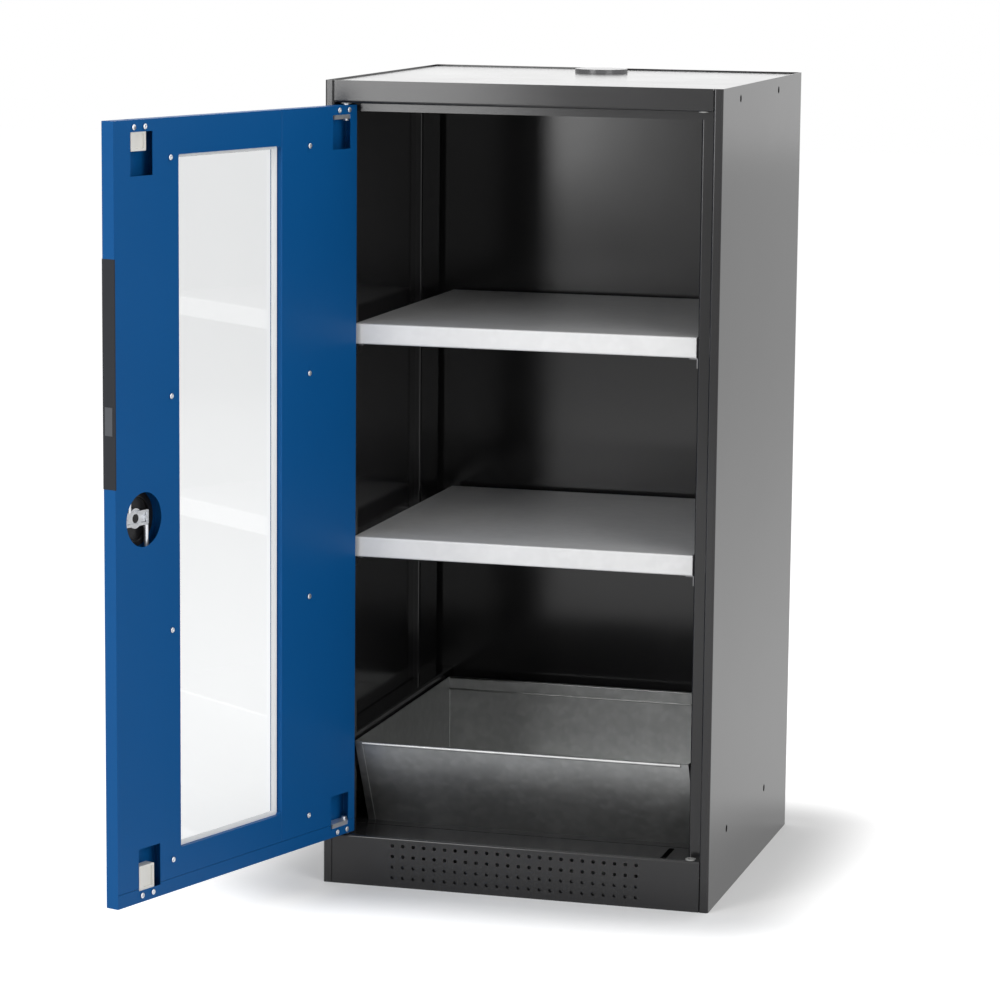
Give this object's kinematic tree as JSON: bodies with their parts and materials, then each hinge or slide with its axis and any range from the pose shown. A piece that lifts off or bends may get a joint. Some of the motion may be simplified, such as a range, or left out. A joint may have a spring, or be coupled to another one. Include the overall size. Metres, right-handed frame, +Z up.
{
  "type": "chemical storage cabinet with wing door",
  "caption": "Narrow folded-steel cabinet with a glazed wing door, rod lock, clip-in shelves and a loose sump tray.",
  "frame": {"origin": "middle of the footprint, on the floor, in the plane that the base frame stands on", "axes": "+Z up, +X to the right seen from the front, +Y to the back; the door is on the -Y side"},
  "size_m": [0.6893, 0.9912, 1.108],
  "materials": {
    "body_coat": "fine textured powder coat, anthracite grey",
    "frame_coat": "powder coat, dark grey",
    "shelf_coat": "smooth powder coat, light grey",
    "tray_steel": "galvanised sheet with drawing marks",
    "door_coat": "fine textured powder coat, gentian blue",
    "pane": "clear safety glass",
    "gasket_light": "soft light grey sealing tape",
    "zinc": "bright zinc plating",
    "grip_plastic": "moulded, finely grained",
    "insert_plastic": "moulded, smooth",
    "lock_black": "black moulded polyamide",
    "key_metal": "nickel plated",
    "bush_plastic": "natural acetal",
    "collar_plastic": "dark grey moulded plastic",
    "foot_plastic": "black polyamide glide on a stud"
  },
  "bodies": {
    "cabinet": {"left_side_panel": "body_coat", "right_side_panel": "body_coat", "back_panel": "body_coat", "top_panel": "body_coat", "header_rail": "body_coat", "plinth_panel": "body_coat", "base_floor": "body_coat", "base_frame": "frame_coat", "foot_gussets": "frame_coat", "levelling_feet": "foot_plastic", "left_front_post": "body_coat", "right_front_post": "body_coat", "left_rear_post": "body_coat", "right_rear_post": "body_coat", "left_tray_strip": "body_coat", "right_tray_strip": "body_coat", "hinge_bushes": "bush_plastic", "exhaust_collar": "collar_plastic", "exhaust_cap": "collar_plastic", "upper_shelf_clips": "zinc", "lower_shelf_clips": "zinc"},
    "upper_shelf": {"upper_shelf": "shelf_coat"},
    "lower_shelf": {"lower_shelf": "shelf_coat"},
    "sump_tray": {"sump_tray": "tray_steel"},
    "door": {"door_outer_skin": "door_coat", "door_inner_panel": "door_coat", "hinge_stile_cover": "door_coat", "hinge_side_stiffener": "door_coat", "lock_side_stiffener": "door_coat", "window_pane": "pane", "outer_window_gasket": "gasket_light", "inner_window_gasket": "gasket_light", "door_screws": "zinc", "door_grip": "grip_plastic", "grip_insert": "insert_plastic", "top_hinge_pin": "zinc", "bottom_hinge_pin": "zinc", "top_hinge_arm": "zinc", "bottom_hinge_arm": "zinc", "hinge_screws": "zinc", "top_rod_guide": "zinc", "bottom_rod_guide": "zinc", "guide_screws": "zinc", "lock_housing": "lock_black", "lock_liner": "lock_black"},
    "lock": {"lock_knob": "lock_black", "key_cylinder": "key_metal", "lock_cam": "zinc"},
    "top_rod": {"top_rod": "zinc", "top_rod_fork": "zinc"},
    "bottom_rod": {"bottom_rod": "zinc", "bottom_rod_fork": "zinc"}
  },
  "joints": [
    {"name": "door_hinge", "type": "hinge", "parent": "cabinet", "child": "door", "pos_m": [-0.2455, -0.2505, 0.572], "axis": [0, 0, 1], "range_deg": [0, 108]},
    {"name": "lock_turn", "type": "hinge", "parent": "door", "child": "lock", "pos_m": [-0.3922, -0.67126, 0.568], "axis": [-0.9511, 0.309, 0], "range_deg": [0, 90]},
    {"name": "top_rod_slide", "type": "slide", "parent": "door", "child": "top_rod", "axis": [0, 0, 1], "range_m": [0, 0.017]},
    {"name": "bottom_rod_slide", "type": "slide", "parent": "door", "child": "bottom_rod", "axis": [0, 0, -1], "range_m": [0, 0.017]},
    {"name": "tray_lift", "type": "slide", "parent": "cabinet", "child": "sump_tray", "axis": [0, 0, 1], "range_m": [0, 0.06]},
    {"name": "upper_shelf_lift", "type": "slide", "parent": "cabinet", "child": "upper_shelf", "axis": [0, 0, 1], "range_m": [0, 0.02]},
    {"name": "lower_shelf_lift", "type": "slide", "parent": "cabinet", "child": "lower_shelf", "axis": [0, 0, 1], "range_m": [0, 0.02]}
  ],
  "couplings": [
    {"joint": "top_rod_slide", "follows": "lock_turn", "m_per_rad": 0.010823},
    {"joint": "bottom_rod_slide", "follows": "lock_turn", "m_per_rad": 0.010823}
  ]
}
